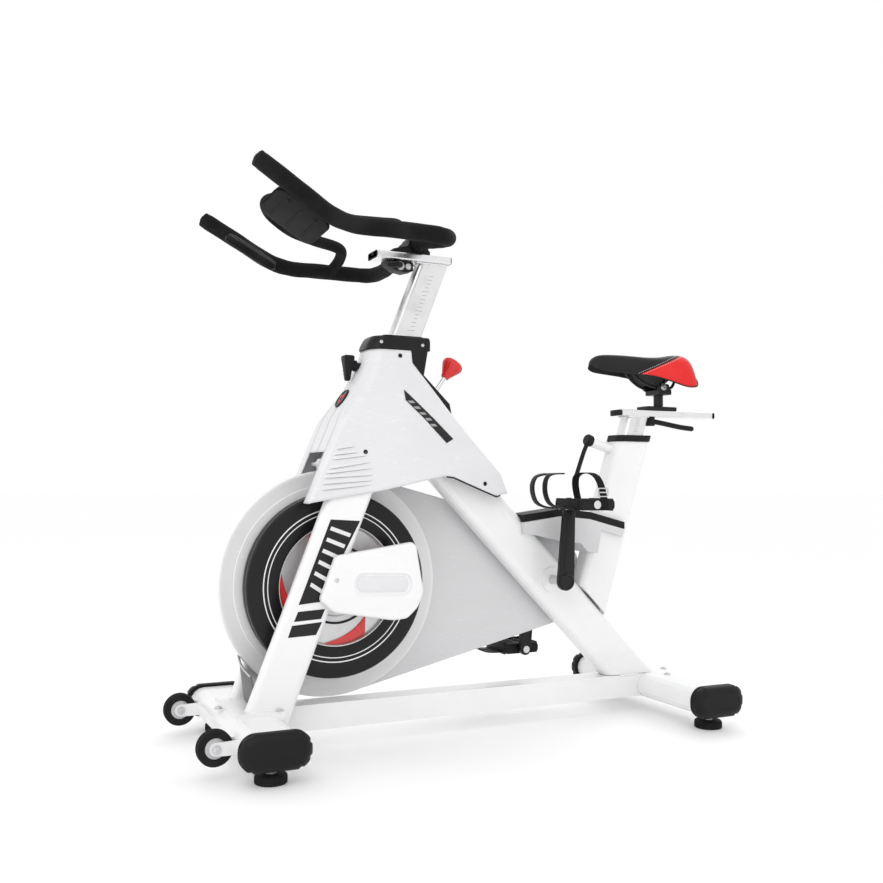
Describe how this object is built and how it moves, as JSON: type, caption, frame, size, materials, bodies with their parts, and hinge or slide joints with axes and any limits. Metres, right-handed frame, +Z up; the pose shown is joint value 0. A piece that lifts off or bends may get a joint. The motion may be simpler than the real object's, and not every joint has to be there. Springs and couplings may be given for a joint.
{
  "type": "indoor spin bike",
  "caption": "Indoor spin bike with a rear-belted flywheel, sloped white frame, adjustable saddle and handlebar posts, caged pedals and a press-down brake knob.",
  "frame": {"origin": "on the floor under the middle of the overall length and width", "axes": "+X to the front, +Y to the rider's left, +Z up"},
  "size_m": [1.2785, 0.503, 1.1184],
  "materials": {
    "white_enamel": "glossy white enamel",
    "white_plastic": "glossy white moulded plastic",
    "grey_plastic": "satin light grey moulded plastic",
    "black_plastic": "black textured plastic",
    "black_foam": "dense black foam",
    "black_rubber": "matt black rubber",
    "webbing": "woven black webbing",
    "saddle_cover": "black coated fabric",
    "black_iron": "black painted casting",
    "black_steel": "black painted steel",
    "bright_steel": "bright plated steel",
    "red_plastic": "red moulded plastic",
    "felt": "pressed wool felt"
  },
  "bodies": {
    "frame": {"axle_cover": "white_plastic", "belt_cover_inner": "white_plastic", "belt_cover_outer": "white_plastic", "bottom_bracket": "bright_steel", "bottom_rail": "white_enamel", "caddy_rim": "black_rubber", "caddy_tray": "white_plastic", "drive_belt": "black_rubber", "end_cap_front_left": "black_plastic", "end_cap_front_right": "black_plastic", "end_cap_rear_left": "black_plastic", "end_cap_rear_right": "black_plastic", "flywheel_axle": "bright_steel", "fork_leg_left": "white_enamel", "fork_leg_right": "white_enamel", "front_stabiliser": "white_enamel", "head_cap": "black_plastic", "head_tube": "white_enamel", "main_beam": "white_enamel", "rear_stabiliser": "white_enamel", "seat_collar": "black_plastic", "seat_tube": "white_enamel", "shroud_left": "grey_plastic", "shroud_right": "grey_plastic"},
    "flywheel": {"flywheel": "black_iron", "flywheel_hub": "bright_steel"},
    "crankset": {"crank_axle": "bright_steel", "crank_left": "black_steel", "crank_right": "black_steel", "crank_pulley": "bright_steel"},
    "pedal_left": {"pedal_body_left": "black_plastic", "toe_cage_left": "black_plastic", "toe_strap_left": "webbing"},
    "pedal_right": {"pedal_body_right": "black_plastic", "toe_cage_right": "black_plastic", "toe_strap_right": "webbing"},
    "wheel_left": {"transport_wheel_left": "black_plastic"},
    "wheel_right": {"transport_wheel_right": "black_plastic"},
    "foot_front_left": {"level_foot_front_left": "black_rubber"},
    "foot_front_right": {"level_foot_front_right": "black_rubber"},
    "foot_rear_left": {"level_foot_rear_left": "black_rubber"},
    "foot_rear_right": {"level_foot_rear_right": "black_rubber"},
    "bar_stem": {"bar_post": "bright_steel", "bar_rail": "bright_steel"},
    "bar": {"bar_mount": "black_plastic", "handlebar": "black_foam", "elbow_pad_left": "black_plastic", "elbow_pad_right": "black_plastic"},
    "seat_stem": {"seat_post": "white_enamel", "seat_rail": "bright_steel"},
    "seat": {"saddle_carriage": "black_steel", "saddle_base": "black_plastic", "saddle": "saddle_cover"},
    "seat_clamp": {"carriage_lever": "black_plastic"},
    "brake_plunger": {"brake_rod": "bright_steel"},
    "knob": {"resistance_knob": "red_plastic"},
    "brake_lever": {"brake_arm": "black_steel", "brake_pad": "felt"},
    "post_pin": {"head_pin": "black_plastic"},
    "seat_post_pin": {"seat_pin": "black_plastic"}
  },
  "joints": [
    {"name": "flywheel_spin", "type": "hinge", "parent": "frame", "child": "flywheel", "pos_m": [0.3279, 0, 0.3223], "axis": [0, 1, 0], "continuous": true},
    {"name": "crank_spin", "type": "hinge", "parent": "frame", "child": "crankset", "pos_m": [-0.1736, 0, 0.3154], "axis": [0, 1, 0], "continuous": true},
    {"name": "pedal_left_spin", "type": "hinge", "parent": "crankset", "child": "pedal_left", "pos_m": [-0.18339, 0.136, 0.48512], "axis": [0, 1, 0], "continuous": true},
    {"name": "pedal_right_spin", "type": "hinge", "parent": "crankset", "child": "pedal_right", "pos_m": [-0.16381, -0.136, 0.14568], "axis": [0, 1, 0], "continuous": true},
    {"name": "wheel_left_spin", "type": "hinge", "parent": "frame", "child": "wheel_left", "pos_m": [0.6068, 0.165, 0.061], "axis": [0, 1, 0], "continuous": true},
    {"name": "wheel_right_spin", "type": "hinge", "parent": "frame", "child": "wheel_right", "pos_m": [0.6068, -0.165, 0.061], "axis": [0, 1, 0], "continuous": true},
    {"name": "foot_front_left_height", "type": "slide", "parent": "frame", "child": "foot_front_left", "axis": [0, 0, 1], "range_m": [0, 0.01]},
    {"name": "foot_front_right_height", "type": "slide", "parent": "frame", "child": "foot_front_right", "axis": [0, 0, 1], "range_m": [0, 0.01]},
    {"name": "foot_rear_left_height", "type": "slide", "parent": "frame", "child": "foot_rear_left", "axis": [0, 0, 1], "range_m": [0, 0.01]},
    {"name": "foot_rear_right_height", "type": "slide", "parent": "frame", "child": "foot_rear_right", "axis": [0, 0, 1], "range_m": [0, 0.01]},
    {"name": "bar_height", "type": "slide", "parent": "frame", "child": "bar_stem", "axis": [-0.3633, 0, 0.9317], "range_m": [-0.09, 0.1]},
    {"name": "bar_reach", "type": "slide", "parent": "bar_stem", "child": "bar", "axis": [1, 0, 0], "range_m": [-0.04, 0.03]},
    {"name": "seat_height", "type": "slide", "parent": "frame", "child": "seat_stem", "axis": [-0.2961, 0, 0.9552], "range_m": [-0.02, 0.14]},
    {"name": "saddle_reach", "type": "slide", "parent": "seat_stem", "child": "seat", "axis": [1, 0, 0], "range_m": [-0.12, 0]},
    {"name": "seat_clamp_turn", "type": "hinge", "parent": "seat", "child": "seat_clamp", "pos_m": [-0.461, 0, 0.679], "axis": [0, 0, 1], "range_deg": [-60, 60]},
    {"name": "brake_press", "type": "slide", "parent": "frame", "child": "brake_plunger", "axis": [0.5747, 0, -0.8184], "range_m": [0, 0.006], "stiffness_N_per_m": 2000, "springref_m": -0.01},
    {"name": "knob_turn", "type": "hinge", "parent": "brake_plunger", "child": "knob", "pos_m": [0.0669, 0, 0.7796], "axis": [0.5747, 0, -0.8184], "continuous": true},
    {"name": "brake_lever_turn", "type": "hinge", "parent": "frame", "child": "brake_lever", "pos_m": [0.3585, 0, 0.568], "axis": [0, 1, 0], "range_deg": [-3, 0]},
    {"name": "post_pin_pull", "type": "slide", "parent": "frame", "child": "post_pin", "axis": [1, 0, 0], "range_m": [0, 0.01], "stiffness_N_per_m": 500, "springref_m": -0.006},
    {"name": "seat_post_pin_pull", "type": "slide", "parent": "frame", "child": "seat_post_pin", "axis": [0.9552, 0, 0.2961], "range_m": [0, 0.012], "stiffness_N_per_m": 500, "springref_m": -0.006}
  ],
  "couplings": [
    {"joint": "crank_spin", "follows": "flywheel_spin", "ratio": 0.28},
    {"joint": "brake_lever_turn", "follows": "brake_press", "rad_per_m": -8.4}
  ]
}
